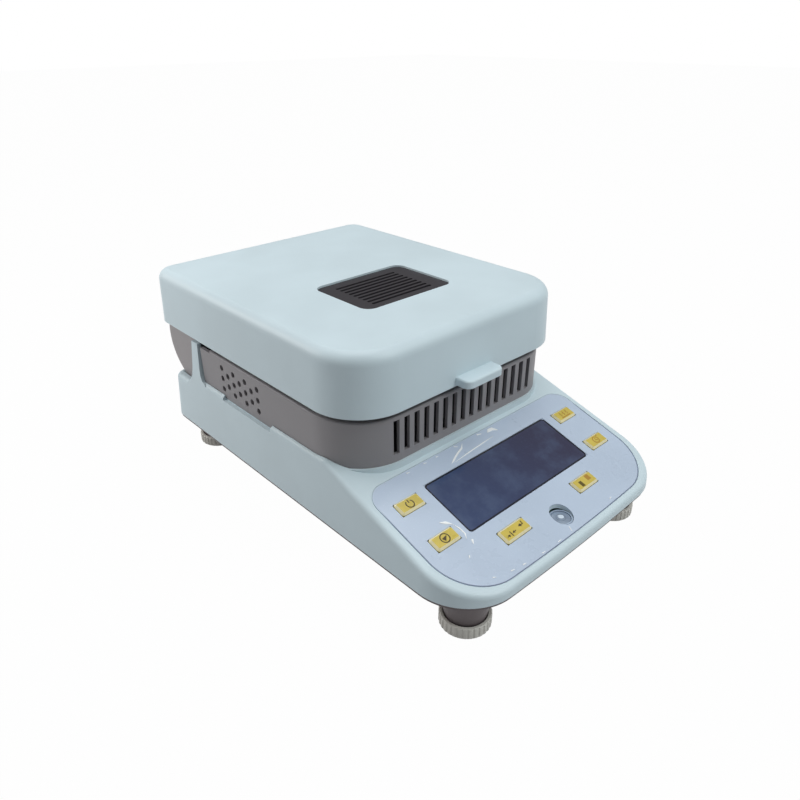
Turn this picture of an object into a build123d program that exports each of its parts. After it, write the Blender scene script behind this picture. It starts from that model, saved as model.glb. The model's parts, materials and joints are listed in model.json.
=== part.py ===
from build123d import *
import os
from math import atan2, cos, degrees, radians, sin, sqrt, tan

# Moisture analyzer, lid closed, in millimetres.
# X runs to the right, Y to the back, Z up. The floor is Z = 0, and the origin is the
# middle of the footprint.

# Overall form
WIDTH = 205.0               # lower housing at its foot
FRONT_Y = -164.5            # nose of the keypad
BASE_REAR_Y = 154.0         # back of the lower housing
LID_REAR_Y = 164.5          # back of the lid
FOOT_GAP = 30.0             # floor to the lower edge of the housing
BASE_DRAFT = 4.0            # degrees, the walls lean in towards the top
BASE_WALL = 2.6
BASE_FRONT_R = 37.0
BASE_REAR_R = 11.0
NOSE_BOW = 2.5              # how far the nose bulges forward at the middle
EDGE_R = 3.5                # rounded upper edge of the lower housing
DECK_Z = 69.5               # flat deck that the chamber collar stands on
RAIL_Z, RAIL_REAR_Z = 73.8, 71.6      # rim beside the collar falls a little to the back
NOTCH_Z = 68.8              # air notch in the rim below the vent holes
REAR_DECK_Z = 65.0          # housing behind the side posts
REAR_STEP_Y = 116.0

# Sloping keypad panel
PANEL_SLOPE = 17.2
PANEL_Y, PANEL_Z = -86.26, 59.48      # the display's rear edge lies here
PANEL_SKIN = 2.6
LABEL_T = 0.5
LABEL_HALF = 94.5
LABEL_FRONT_Y, LABEL_REAR_Y = -160.0, -72.4
LABEL_FRONT_R, LABEL_REAR_R = 34.0, 13.0
LABEL_GAP = 0.4             # fine groove round the label
DISPLAY_HALF = 59.3
DISPLAY_FRONT_Y, DISPLAY_REAR_Y = -125.9, -86.3

KEY_DEPTH = 9.6             # down the slope
# Keys: name, middle x, middle y, width across x
KEYS = [
    ("key_power", -76.2, -92.4, 18.5),
    ("key_print", -75.8, -120.7, 18.5),
    ("key_tare", -35.5, -139.0, 22.5),
    ("key_mode", 35.5, -139.0, 20.5),
    ("key_heat", 76.2, -92.4, 18.5),
    ("key_time", 75.8, -120.7, 18.5),
]
KEY_PROUD = 1.6
KEY_BEVEL = 1.3
KEY_GAP = 0.35
KEY_TRAVEL = 0.8

# Bubble level
LEVEL_X, LEVEL_Y, LEVEL_R = 0.3, -146.9, 7.4
LEVEL_SEAT_Z, LEVEL_TOP_Z = 35.0, 38.4

# Sample chamber and the collar round it
CHAMBER_Y = 13.35           # middle of the chamber, pan, lamp and lid grille
COLLAR_HALF = 97.0
COLLAR_FRONT_Y = -67.5
COLLAR_REAR_Y = 94.5
COLLAR_WING_Y = 105.3       # its side walls run on to the side posts
COLLAR_R = 38.0
COLLAR_TOP_Z = 101.0
COLLAR_WALL = 2.5
SLOT_COUNT, SLOT_PITCH, SLOT_W = 16, 8.4, 4.4
SLOT_Z0, SLOT_Z1 = 75.0, 98.6
VENT_R = 2.2
VENT_PITCH_Y, VENT_PITCH_Z = 7.45, 4.1
VENT_Y0, VENT_Z0 = 31.8, 76.9
POT_R = 64.0                # metal chamber liner
SHEET_T = 1.0
SHIELD_TOP_Z = 88.0
SPIGOT_HOLE_R = 13.0

# Side posts
POST_INNER = 94.6
POST_TOP_Z = 101.5

# Lid
LID_HALF = 99.6
LID_FRONT_Y = -71.6
LID_BOTTOM_Z, LID_TOP_Z = 106.5, 146.5
LID_DRAFT = 2.5
LID_WALL = 2.6
LID_FRONT_R, LID_REAR_R = 36.0, 15.0
LID_EDGE_R = 8.0
TAB_HALF, TAB_FRONT_Y = 17.2, -82.5
TAB_Z0, TAB_Z1 = 107.6, 112.8
GRILLE_X, GRILLE_Y = 79.2, 57.5
GRILLE_R = 8.0
GRILLE_RECESS = 1.3
GRILLE_SLOTS, GRILLE_PITCH, GRILLE_SLOT_W, GRILLE_SLOT_L = 9, 4.7, 2.4, 54.0

LINER_Z0, LINER_Z1 = 108.0, 110.6     # inner frame of the lid
GLASS_R = 62.0

# Hinge
HINGE_Y, HINGE_Z = 128.0, 93.0
SKIRT_R = 31.5              # quarter-round rear skirt of the lid liner
SKIRT_T = 2.2
SKIRT_DY, SKIRT_DZ = 28.6, 13.2       # top of the round part, from the hinge line
TROUGH_R = 33.6             # trough in the housing that the skirt swings through
CHEEK_OUT, CHEEK_IN = 93.8, 91.2
PIN_R = 3.0
RUNNING = 0.06              # radial clearance of a running fit
BRACKET_X = 70.0

# Levelling feet
FOOT_X, FOOT_FRONT_Y, FOOT_REAR_Y = 76.0, -139.0, 137.0
WHEEL_R = 15.5
WHEEL_Z0, WHEEL_Z1 = 0.8, 8.6
BOSS_TIP_R, BOSS_TOP_R = 12.4, 16.5
BOSS_TIP_Z = 7.4
STUD_R = 4.0
FOOT_NAMES = [
    ("front_left", -FOOT_X, FOOT_FRONT_Y),
    ("front_right", FOOT_X, FOOT_FRONT_Y),
    ("rear_left", -FOOT_X, FOOT_REAR_Y),
    ("rear_right", FOOT_X, FOOT_REAR_Y),
]
PLATE_Z = 27.2              # underside of the bottom plate
# housing screws: x, y and the top of the boss that each one enters
BASE_SCREWS = [
    (-92, -92, 55.5),
    (92, -92, 55.5),
    (-92, -14, 68),
    (92, -14, 68),
    (-92, 66, 68),
    (92, 66, 68),
]

# Rear connectors, all in one recessed flat panel
SOCKET_PANEL_Y = 150.6
REAR_INNER_Y = SOCKET_PANEL_Y - 3.1
SOCKET_Z = 45.5
INLET_X, SWITCH_X, SERIAL_X, FAN_X = 62.0, 24.0, -14.0, -58.0
ROCKER_Y, ROCKER_ANGLE, ROCKER_WIDTH = SOCKET_PANEL_Y - 0.4, 9.0, 9.2
TRUNNION_R, TRUNNION_HALF = 1.2, 5.7
FAN_HALF = 12.4
FAN_Z = SOCKET_Z - 1.0
FAN_Y1 = REAR_INNER_Y
FAN_Y0 = FAN_Y1 - 10.0

SLOPE = radians(PANEL_SLOPE)
PANEL = Plane(origin=(0, PANEL_Y, PANEL_Z), x_dir=(1, 0, 0), z_dir=(0, -sin(SLOPE), cos(SLOPE)))
nodes = {}


def panel_z(y):
    return PANEL_Z + tan(SLOPE) * (y - PANEL_Y)


def along(y):
    # distance up the slope from the panel's origin to the point above this y
    return (y - PANEL_Y) / cos(SLOPE)


def on_panel(x, y, height=0.0):
    return PANEL * Pos(x, along(y), height)


def rounded_outline(half, y0, y1, r0, r1, bow=0.0):
    # a plan outline with its own front and rear corner radii, and a front edge that may bulge
    if bow:
        front = ThreePointArc((-half, y0 + bow), (0, y0), (half, y0 + bow))
    else:
        front = Line((-half, y0), (half, y0))
    sides = Polyline((half, y0 + bow), (half, y1), (-half, y1), (-half, y0 + bow))
    face = make_face(front + sides)
    face = fillet(face.vertices().group_by(Axis.Y)[0], r0)
    return fillet(face.vertices().group_by(Axis.Y)[-1], r1)


def slab(outline, z0, z1):
    return Pos(0, 0, z0) * extrude(outline, z1 - z0)


def side_prism(points, x0, x1):
    # a closed outline in the YZ plane, stretched from x0 to x1
    face = make_face(Polyline(*points, close=True))
    return extrude(Plane.YZ.offset(x0) * face, x1 - x0)


def block(x0, x1, y0, y1, z0, z1):
    return Pos((x0 + x1) / 2, (y0 + y1) / 2, (z0 + z1) / 2) * Box(x1 - x0, y1 - y0, z1 - z0)


def rod(x, y, z0, z1, r):
    return Pos(x, y, (z0 + z1) / 2) * Cylinder(r, z1 - z0)


def cross_rod(x0, x1, y, z, r):
    # a cylinder lying along X
    return Pos((x0 + x1) / 2, y, z) * Rot(0, 90, 0) * Cylinder(r, x1 - x0)


def deep_rod(x, y0, y1, z, r):
    # a cylinder lying along Y
    return Pos(x, (y0 + y1) / 2, z) * Rot(90, 0, 0) * Cylinder(r, y1 - y0)


def both_sides(shape):
    return shape + mirror(shape, Plane.YZ)


def base_outline(inset):
    return rounded_outline(WIDTH / 2 - inset, FRONT_Y + inset, BASE_REAR_Y - inset,
                           BASE_FRONT_R - inset, BASE_REAR_R - inset, NOSE_BOW)


def base_block(z_top, inset=0.0, z_foot=FOOT_GAP):
    lean = tan(radians(BASE_DRAFT))
    lower = Pos(0, 0, z_foot) * base_outline(inset + (z_foot - FOOT_GAP) * lean)
    upper = Pos(0, 0, z_top) * base_outline(inset + (z_top - FOOT_GAP) * lean)
    return loft([lower, upper], ruled=True)


def collar_outline(grow):
    return rounded_outline(COLLAR_HALF + grow, COLLAR_FRONT_Y - grow, COLLAR_REAR_Y + grow,
                           COLLAR_R + grow, 4.0)


def label_outline(grow):
    return rounded_outline(LABEL_HALF + grow, along(LABEL_FRONT_Y) - grow, along(LABEL_REAR_Y) + grow,
                           LABEL_FRONT_R + grow, LABEL_REAR_R + grow, NOSE_BOW)


def panel_openings(z0, z1, spare):
    # what passes through the sloping panel: six keys, the display and the level
    cuts = Part()
    for _, x, y, width in KEYS:
        cuts += on_panel(x, y, (z0 + z1) / 2) * Box(width + 2 * spare, KEY_DEPTH + 2 * spare, z1 - z0)
    mid_y = (DISPLAY_FRONT_Y + DISPLAY_REAR_Y) / 2
    depth = along(DISPLAY_REAR_Y) - along(DISPLAY_FRONT_Y)
    cuts += on_panel(0, mid_y, (z0 + z1) / 2) * Box(2 * DISPLAY_HALF, depth, z1 - z0)
    return cuts + rod(LEVEL_X, LEVEL_Y, 25, 60, LEVEL_R + 0.3)


def make_base_housing():
    low, high = FRONT_Y - 20, BASE_REAR_Y + 20
    rail_y = PANEL_Y + (RAIL_Z - PANEL_Z) / tan(SLOPE)
    top_line = [(low, 0), (REAR_STEP_Y + 10, 0), (REAR_STEP_Y + 10, RAIL_REAR_Z), (rail_y, RAIL_Z),
                (low, panel_z(low))]
    front = base_block(RAIL_Z + 10) & side_prism(top_line, -150, 150)
    upper = front.faces().filter_by(lambda f: f.normal_at().Z > 0.9)
    seam = upper.edges().filter_by(GeomType.LINE).filter_by(Axis.X)
    seam = seam.filter_by(lambda e: abs(e.center().Y) < 60)
    rim = [e for e in upper.edges() if not any(e.center() == s.center() for s in seam)]
    rim = [e for e in rim if e.center().Y < REAR_STEP_Y + 5]
    front = fillet(rim, EDGE_R)
    rear = base_block(REAR_DECK_Z)
    rear = fillet(rear.faces().sort_by(Axis.Z)[-1].edges(), EDGE_R)
    body = (front & block(-150, 150, low, REAR_STEP_Y, 0, 120))
    body += (rear & block(-150, 150, REAR_STEP_Y, high, 0, 120))

    # deck island that lifts the collar above the sloping panel
    island = slab(collar_outline(1.5), 45, DECK_Z) & block(-150, 150, -80, 0, 0, 100)
    body += island

    # side posts: they rise beside the lid's rear cheeks, wider at the foot
    post = side_prism([(101.0, 71.0), (105.2, 72.6), (107.2, 76.0), (107.8, 82.0), (108.4, POST_TOP_Z),
                       (116.6, POST_TOP_Z), (118.6, 80.0), (120.2, 73.0), (124.0, 67.5), (129.0, 64.0),
                       (129.0, 60.0), (101.0, 60.0)], POST_INNER, 120)
    post &= base_block(POST_TOP_Z + 8)
    body += both_sides(post)

    # seat of the collar, the well behind it and the trough for the skirt
    body -= slab(collar_outline(0.3), DECK_Z, 130)
    body -= block(-POST_INNER, POST_INNER, 60, REAR_STEP_Y + 30, DECK_Z, 130)
    body -= both_sides(block(COLLAR_HALF - 3, COLLAR_HALF + 0.3, 60, COLLAR_WING_Y + 0.3, DECK_Z, 130))
    body -= cross_rod(-POST_INNER, POST_INNER, HINGE_Y, HINGE_Z, TROUGH_R)
    body -= both_sides(block(COLLAR_HALF, 120, 16, 76, NOTCH_Z, 90))

    # hollow inside, following the panel, the deck and the trough
    under = PANEL_SKIN / cos(SLOPE) + LABEL_T
    deck_under = DECK_Z - BASE_WALL
    y_turn = PANEL_Y + (deck_under + under - PANEL_Z) / tan(SLOPE)
    hollow_line = [(low, 0), (REAR_INNER_Y, 0), (REAR_INNER_Y, REAR_DECK_Z - 3.0),
                   (120, REAR_DECK_Z - 3.0), (110, deck_under), (y_turn, deck_under),
                   (low, panel_z(low) - under)]
    hollow = base_block(RAIL_Z, BASE_WALL, FOOT_GAP - 1) & side_prism(hollow_line, -150, 150)
    hollow -= cross_rod(-130, 130, HINGE_Y, HINGE_Z, TROUGH_R + 2.4)
    body -= hollow

    # label pocket and the openings in the panel
    body -= PANEL * Pos(0, 0, -LABEL_T) * extrude(label_outline(LABEL_GAP), 6)
    body -= panel_openings(-PANEL_SKIN - 4, 6, KEY_GAP)
    # neck for the weighing cell
    body -= rod(0, CHAMBER_Y, 60, 80, 11)

    # recessed connector panel at the back, with its cut-outs
    panel_x = 88.0
    body -= block(-panel_x, panel_x, SOCKET_PANEL_Y, BASE_REAR_Y + 5, FOOT_GAP + 3.5, REAR_DECK_Z - 3.5)
    body -= block(INLET_X - 14.2, INLET_X + 14.2, 140, 160, SOCKET_Z - 10.3, SOCKET_Z + 10.3)
    body -= block(SWITCH_X - 10.6, SWITCH_X + 10.6, 140, 160, SOCKET_Z - 6.6, SOCKET_Z + 6.6)
    body -= block(SERIAL_X - 8.6, SERIAL_X + 8.6, 140, 160, SOCKET_Z - 4.6, SOCKET_Z + 4.6)
    for row in range(5):
        z = FAN_Z + (row - 2) * 4.0
        half = sqrt(11.5 ** 2 - (z - FAN_Z) ** 2)
        body -= block(FAN_X - half, FAN_X + half, 140, 160, z - 1.1, z + 1.1)

    # screw bosses that reach down to the bottom plate
    bosses = Part()
    for x, y, top in BASE_SCREWS:
        bosses += rod(x, y, FOOT_GAP + 0.1, top, 4.0) - rod(x, y, FOOT_GAP, FOOT_GAP + 12, 1.5)
    return body + bosses


def make_bottom_plate():
    plate = slab(base_outline(0.7), PLATE_Z, FOOT_GAP)
    plate = chamfer(plate.faces().sort_by(Axis.Z)[0].edges(), 0.8)
    rim = slab(base_outline(BASE_WALL + 0.5), FOOT_GAP, FOOT_GAP + 2)
    rim -= slab(base_outline(BASE_WALL + 2), 20, 40)
    rim -= block(-110, 110, SOCKET_PANEL_Y - 6, 160, 20, 40)
    rim -= block(-60, 60, -170, -120, 20, 40)
    plate += rim
    for _, x, y in FOOT_NAMES:
        height = PLATE_Z - BOSS_TIP_Z
        cone = Pos(x, y, BOSS_TIP_Z + height / 2) * Cone(BOSS_TIP_R, BOSS_TOP_R, height)
        plate += cone
        plate -= rod(x, y, 0, 40, STUD_R + 1.0)
        plate -= rod(x, y, 9.0, 21.0, 6.0)
    # rows of cooling slots under the boards and the chamber
    for side in (-1, 1):
        for i in range(6):
            plate -= block(side * 38 - 20, side * 38 + 20, 24 + 8 * i, 27 + 8 * i, 20, 40)
    for x, y, _ in BASE_SCREWS:
        plate -= rod(x, y, 20, 40, 1.7)
        plate -= rod(x, y, 20, PLATE_Z + 1.2, 3.2)
    return plate


def make_foot_inserts():
    group = Part()
    for _, x, y in FOOT_NAMES:
        group += rod(x, y, 9.0, 21.0, 6.0) - rod(x, y, 8, 22, STUD_R + RUNNING)
    return group


def make_foot_wheel(x, y):
    # knurled wheel with a dished top, on a threaded stud
    wheel = Pos(0, 0, (WHEEL_Z0 + WHEEL_Z1) / 2) * Cylinder(WHEEL_R, WHEEL_Z1 - WHEEL_Z0)
    wheel = chamfer(wheel.edges().filter_by(GeomType.CIRCLE), 0.7)
    flutes = Part()
    for spot in PolarLocations(WHEEL_R + 0.35, 30):
        flutes += spot * Cylinder(0.95, 30)
    wheel -= flutes
    wheel -= Pos(0, 0, 7.6) * Cone(12.6, 13.6, 3.2)
    wheel -= rod(0, 0, 0, 2.2, 12.3)
    wheel += rod(0, 0, 3.0, 25.0, STUD_R)
    return Pos(x, y, 0) * wheel


def make_foot_pad(x, y):
    pad = rod(0, 0, 0, 1.8, 12.0)
    return Pos(x, y, 0) * chamfer(pad.edges().group_by(Axis.Z)[0], 0.6)


def make_keypad_label():
    label = PANEL * Pos(0, 0, -LABEL_T) * extrude(label_outline(0), LABEL_T)
    return label - panel_openings(-3, 3, 0.25)


def make_display_window():
    mid_y = (DISPLAY_FRONT_Y + DISPLAY_REAR_Y) / 2
    depth = along(DISPLAY_REAR_Y) - along(DISPLAY_FRONT_Y)
    return on_panel(0, mid_y, -1.7) * Box(2 * DISPLAY_HALF - 0.4, depth - 0.4, 2.8)


def make_lcd_module():
    mid_y = (DISPLAY_FRONT_Y + DISPLAY_REAR_Y) / 2
    frame = on_panel(0, mid_y, -5.6) * Box(124, 46.5, 4.2)
    glass = on_panel(0, mid_y, -3.55) * Box(114, 37, 0.5)
    return frame - glass


def make_lcd_glass():
    mid_y = (DISPLAY_FRONT_Y + DISPLAY_REAR_Y) / 2
    return on_panel(0, mid_y, -3.55) * Box(114, 37, 0.5)


BOARD_TOP = -7.7            # keypad board below the panel's surface
SWITCH_TOP = -5.9


def make_keypad_board():
    board = on_panel(0, -111.5, BOARD_TOP - 0.7) * Box(176, 66, 1.4)
    board -= rod(LEVEL_X, LEVEL_Y, 20, 60, LEVEL_R + 2.5)
    board -= both_sides(on_panel(83, -143, BOARD_TOP - 0.7) * Box(22, 16, 5))
    board &= block(-86, 86, -200, 200, FOOT_GAP + 0.6, 100)
    for x, y, _ in BASE_SCREWS:
        board -= rod(x, y, 20, 80, 5.0)
    return board


def make_key_switches():
    # tactile switches, one below each key
    group = Part()
    for _, x, y, _ in KEYS:
        lower = on_panel(x, y, BOARD_TOP + 0.65) * Box(6, 6, 1.3)
        group += lower
        group += on_panel(x, y, (BOARD_TOP + SWITCH_TOP) / 2) * Cylinder(1.7, SWITCH_TOP - BOARD_TOP)
    return group


def make_key(x, y, width):
    cap = Box(width, KEY_DEPTH, 5.0)
    cap = fillet(cap.edges().filter_by(Axis.Z), KEY_BEVEL + 0.4)
    cap = chamfer(cap.faces().sort_by(Axis.Z)[-1].edges(), KEY_BEVEL)
    cap = Pos(0, 0, KEY_PROUD - 2.5) * cap
    cap += Pos(0, 0, -3.75) * Box(width + 2.4, KEY_DEPTH + 2.4, 0.7)
    cap += Pos(0, 0, -4.5) * Cylinder(1.8, 1.0)
    return on_panel(x, y) * cap


def make_bubble_level():
    # round vial standing on the bottom plate, its face level in a shallow well
    vial = rod(LEVEL_X, LEVEL_Y, FOOT_GAP, LEVEL_TOP_Z, LEVEL_R)
    vial -= rod(LEVEL_X, LEVEL_Y, LEVEL_SEAT_Z, LEVEL_TOP_Z + 1, LEVEL_R - 1.0)
    return vial


def make_level_glass():
    lens = rod(LEVEL_X, LEVEL_Y, LEVEL_SEAT_Z, LEVEL_TOP_Z - 0.3, LEVEL_R - 1.05)
    return fillet(lens.edges().group_by(Axis.Z)[-1], 0.8)


def make_chamber_collar():
    outer = slab(collar_outline(0), DECK_Z, COLLAR_TOP_Z)
    outer = fillet(outer.faces().sort_by(Axis.Z)[-1].edges(), 1.4)
    collar = outer - slab(collar_outline(-COLLAR_WALL), DECK_Z - 1, COLLAR_TOP_Z - 2.5)
    wing = block(COLLAR_HALF - COLLAR_WALL, COLLAR_HALF, COLLAR_REAR_Y - 6, COLLAR_WING_Y,
                 DECK_Z, COLLAR_TOP_Z - 1.4)
    collar += both_sides(wing)
    collar -= rod(0, CHAMBER_Y, 60, 120, POT_R + 1.3)
    collar -= rod(0, CHAMBER_Y, COLLAR_TOP_Z - 1.2, 120, POT_R + 7.3)
    collar -= both_sides(block(82.5, COLLAR_HALF - COLLAR_WALL, COLLAR_REAR_Y - COLLAR_WALL, 110, 60, 120))
    # sixteen tall slots across the front
    for i in range(SLOT_COUNT):
        x = (i - (SLOT_COUNT - 1) / 2) * SLOT_PITCH
        collar -= block(x - SLOT_W / 2, x + SLOT_W / 2, COLLAR_FRONT_Y - 5, COLLAR_FRONT_Y + 12,
                        SLOT_Z0, SLOT_Z1)
    # staggered vent holes in each side, columns of three and two
    holes = Part()
    for column in range(7):
        y = VENT_Y0 + column * VENT_PITCH_Y
        count = 3 - column % 2
        for row in range(count):
            z = VENT_Z0 + (column % 2) * VENT_PITCH_Z + 2 * row * VENT_PITCH_Z
            holes += cross_rod(-120, 120, y, z, VENT_R)
    collar -= holes - block(-60, 60, -100, 200, 0, 200)
    return collar


def make_lid_buffers():
    # rubber bumpers on the collar's top that stop the closed lid
    group = Part()
    for x in (-86, 86):
        for y in (0, 72):
            bumper = rod(x, y, COLLAR_TOP_Z, LINER_Z0 - 0.2, 3.2)
            group += fillet(bumper.edges().group_by(Axis.Z)[-1], 1.0)
    return group


def ring(r0, r1, z0, z1):
    # a flat ring round the chamber's axis
    return rod(0, CHAMBER_Y, z0, z1, r1) - rod(0, CHAMBER_Y, z0 - 1, z1 + 1, r0)


CHAMBER_FLOOR_Z = DECK_Z + 0.1


def make_chamber_floor():
    return ring(SPIGOT_HOLE_R, POT_R - 0.1, CHAMBER_FLOOR_Z, CHAMBER_FLOOR_Z + SHEET_T)


def make_chamber_liner():
    # turned metal wall with a flange that rests in the collar's top
    top = COLLAR_TOP_Z - 0.1
    wall = ring(POT_R, POT_R + SHEET_T, CHAMBER_FLOOR_Z, top)
    return wall + ring(POT_R, POT_R + 7.0, top - SHEET_T, top)


def make_draft_shield():
    return ring(59.2, 60.0, CHAMBER_FLOOR_Z + SHEET_T, SHIELD_TOP_Z)


def make_pan_support():
    # three arms on a hub that drops over the weighing spigot
    hub = rod(0, 0, 73.0, 81.0, 7.0) - rod(0, 0, 70, 78.6, 4.6)
    support = hub
    for turn in (90, 210, 330):
        arm = block(0, 43, -3, 3, 79.4, 81.0) + block(41, 43, -3, 3, 81.0, 83.0)
        support += Rot(0, 0, turn) * arm
    return Pos(0, CHAMBER_Y, 0) * support


def make_sample_pan():
    profile = [(0, 81.1), (38.5, 81.1), (38.5, 83.1), (50, 83.1), (51, 90.0), (54, 90.0), (54, 90.6),
               (50.3, 90.6), (49.3, 83.8), (37.8, 83.8), (37.8, 81.8), (0, 81.8)]
    face = make_face(Plane.XZ * Polyline(*profile, close=True))
    return Pos(0, CHAMBER_Y, 0) * revolve(face, Axis.Z)


def make_pan_lifter():
    # flat ring under the pan's rim, with a finger tab towards the front
    z0, z1 = SHIELD_TOP_Z + 0.1, SHIELD_TOP_Z + 1.2
    tab = block(-8, 8, -61.0, -58.5, z0, z1) + block(-8, 8, -61.0, -59.8, z1, 94.0)
    return ring(51.8, 60.2, z0, z1) + Pos(0, CHAMBER_Y, 0) * tab


def make_weighing_cell():
    # single-point load cell: a milled bar with linked holes, on a spacer
    y0, y1 = CHAMBER_Y - 16, CHAMBER_Y + 74
    bar = block(-15, 15, y0, y1, 38, 60)
    for y in (CHAMBER_Y + 17, CHAMBER_Y + 41):
        bar -= cross_rod(-20, 20, y, 49, 8.5)
    bar -= block(-20, 20, CHAMBER_Y + 17, CHAMBER_Y + 41, 46.5, 51.5)
    foot = block(-20, 20, y1 - 26, y1 + 4, FOOT_GAP, 38)
    return bar + foot


def make_cell_spigot():
    stem = rod(0, CHAMBER_Y, 61.0, 78.4, 4.0) + rod(0, CHAMBER_Y, 61.0, 63.0, 9.0)
    return stem + rod(0, CHAMBER_Y, 70.0, 72.8, 6.5)


def make_main_board():
    board = block(-86, -24, -64, 44, 36.0, 37.6)
    parts = block(-80, -66, -50, -20, 37.6, 45) + block(-56, -40, -46, -30, 37.6, 39.6)
    parts += block(-60, -34, 6, 30, 37.6, 50)
    for y in (-56, -44):
        parts += rod(-34, y, 37.6, 52, 5)
    posts = Part()
    for x in (-82, -28):
        for y in (-60, 40):
            posts += rod(x, y, FOOT_GAP, 36.0, 3)
    return board + parts + posts


def make_transformer_core():
    return block(34, 78, -56, -20, FOOT_GAP, 62) - block(44, 68, -60, -10, 38, 54)


def make_transformer_coil():
    coil = block(44.2, 67.8, -62, -14, 38.2, 53.8)
    return fillet(coil.edges().filter_by(Axis.Y), 3)


def make_fan_frame():
    frame = block(FAN_X - FAN_HALF, FAN_X + FAN_HALF, FAN_Y0, FAN_Y1, FAN_Z - FAN_HALF, FAN_Z + FAN_HALF)
    frame -= deep_rod(FAN_X, FAN_Y0 - 1, FAN_Y1 + 1, FAN_Z, 11.6)
    hub = deep_rod(0, FAN_Y0, FAN_Y0 + 1.4, 0, 5.5) + deep_rod(0, FAN_Y0, FAN_Y1 - 2.4, 0, 1.0)
    for turn in (30, 150, 270):
        hub += Rot(0, turn, 0) * block(-1.2, 1.2, FAN_Y0, FAN_Y0 + 1.4, 0, 12.0)
    return frame + Pos(FAN_X, 0, FAN_Z) * hub


def make_fan_rotor():
    y0, y1 = FAN_Y0 + 1.8, FAN_Y1 - 1.0
    rotor = deep_rod(0, y0, y1, 0, 5.2)
    for i in range(7):
        blade = Pos(0, (y0 + y1) / 2, 7.9) * Rot(0, 0, 38) * Box(0.9, 6.4, 6.2)
        rotor += Rot(0, i * 360 / 7, 0) * blade
    rotor -= deep_rod(0, y0 - 1, y1 - 1.2, 0, 1.0 + RUNNING)
    return Pos(FAN_X, 0, FAN_Z) * rotor


def make_power_inlet():
    y = SOCKET_PANEL_Y
    flange = block(INLET_X - 24.8, INLET_X + 24.8, y, y + 2.2, SOCKET_Z - 12, SOCKET_Z + 12)
    flange = fillet(flange.edges().filter_by(Axis.Y), 4)
    body = block(INLET_X - 14, INLET_X + 14, y - 22, y + 0.1, SOCKET_Z - 10, SOCKET_Z + 10)
    socket = block(INLET_X - 12, INLET_X + 12, y - 16, y + 3, SOCKET_Z - 8, SOCKET_Z + 8)
    socket = chamfer(socket.edges().filter_by(Axis.Y).group_by(Axis.Z)[-1], 4.5)
    inlet = flange + body - socket
    for dx in (-20, 20):
        inlet -= deep_rod(INLET_X + dx, y - 1, y + 3, SOCKET_Z, 1.7)
    for dx, z in ((-7, -2), (0, 2), (7, -2)):
        inlet += block(INLET_X + dx - 1, INLET_X + dx + 1, y - 18, y - 5, SOCKET_Z + z - 2, SOCKET_Z + z + 2)
    return inlet


def make_switch_frame():
    y = SOCKET_PANEL_Y
    frame = block(SWITCH_X - 12.5, SWITCH_X + 12.5, y, y + 1.8, SOCKET_Z - 8.5, SOCKET_Z + 8.5)
    frame += block(SWITCH_X - 10.4, SWITCH_X + 10.4, y - 14, y + 0.1, SOCKET_Z - 6.4, SOCKET_Z + 6.4)
    frame -= block(SWITCH_X - 8.8, SWITCH_X + 8.8, y - 9, y + 3, SOCKET_Z - 5.0, SOCKET_Z + 5.0)
    seat = SOCKET_Z - TRUNNION_HALF - 0.2, SOCKET_Z + TRUNNION_HALF + 0.2
    return frame - rod(SWITCH_X, ROCKER_Y, *seat, TRUNNION_R + RUNNING)


def make_power_rocker():
    # rocker on two small trunnions, resting with its left end out
    half = 7.9
    shape = Polyline((-half, -2.0), (-half, 1.8), (0, 2.6), (half, 1.8), (half, -2.0), (0, -5.0), close=True)
    rocker = extrude(make_face(shape), ROCKER_WIDTH / 2, both=True)
    rocker += rod(0, 0, -TRUNNION_HALF, TRUNNION_HALF, TRUNNION_R)
    return Pos(SWITCH_X, ROCKER_Y, SOCKET_Z) * Rot(0, 0, ROCKER_ANGLE) * rocker


def make_serial_port():
    y = SOCKET_PANEL_Y
    flange = block(SERIAL_X - 15.5, SERIAL_X + 15.5, y, y + 1.0, SOCKET_Z - 6.2, SOCKET_Z + 6.2)
    shell = block(SERIAL_X - 8.4, SERIAL_X + 8.4, y - 9, y + 5.4, SOCKET_Z - 4.2, SOCKET_Z + 4.2)
    shell = fillet(shell.edges().filter_by(Axis.Y), 2.0)
    port = flange + shell
    port -= block(SERIAL_X - 7.6, SERIAL_X + 7.6, y, y + 6, SOCKET_Z - 3.4, SOCKET_Z + 3.4)
    for side in (-1, 1):
        port += deep_rod(SERIAL_X + side * 12.5, y + 1.0, y + 5.0, SOCKET_Z, 2.4)
    return port


def make_hinge_brackets():
    # steel gooseneck plates from the deck strip up to the hinge line
    lean = atan2(HINGE_Z - 71.0, HINGE_Y - 99.5)
    dy, dz = -sin(lean) * 4.2, cos(lean) * 4.2
    arm = side_prism([(99.5 - dy, 71.0 - dz), (HINGE_Y - dy, HINGE_Z - dz),
                      (HINGE_Y + dy, HINGE_Z + dz), (99.5 + dy, 71.0 + dz)], BRACKET_X - 2, BRACKET_X + 2)
    arm += cross_rod(BRACKET_X - 2, BRACKET_X + 2, HINGE_Y, HINGE_Z, 7.5)
    arm += block(BRACKET_X - 12, BRACKET_X + 2, 95.4, 103.6, DECK_Z, DECK_Z + 2.0)
    arm += side_prism([(95.4, DECK_Z), (103.6, DECK_Z), (104.5, 74.0), (98.0, 77.0)],
                      BRACKET_X - 2, BRACKET_X + 2)
    arm &= block(0, 100, 95.4, 160, DECK_Z, 110)
    arm -= cross_rod(BRACKET_X - 5, BRACKET_X + 5, HINGE_Y, HINGE_Z, PIN_R)
    return both_sides(arm)


def make_hinge_pins():
    pin = cross_rod(BRACKET_X - 4, 90.0, HINGE_Y, HINGE_Z, PIN_R)
    pin += cross_rod(BRACKET_X - 6.0, BRACKET_X - 4, HINGE_Y, HINGE_Z, 4.6)
    return both_sides(pin)


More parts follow.
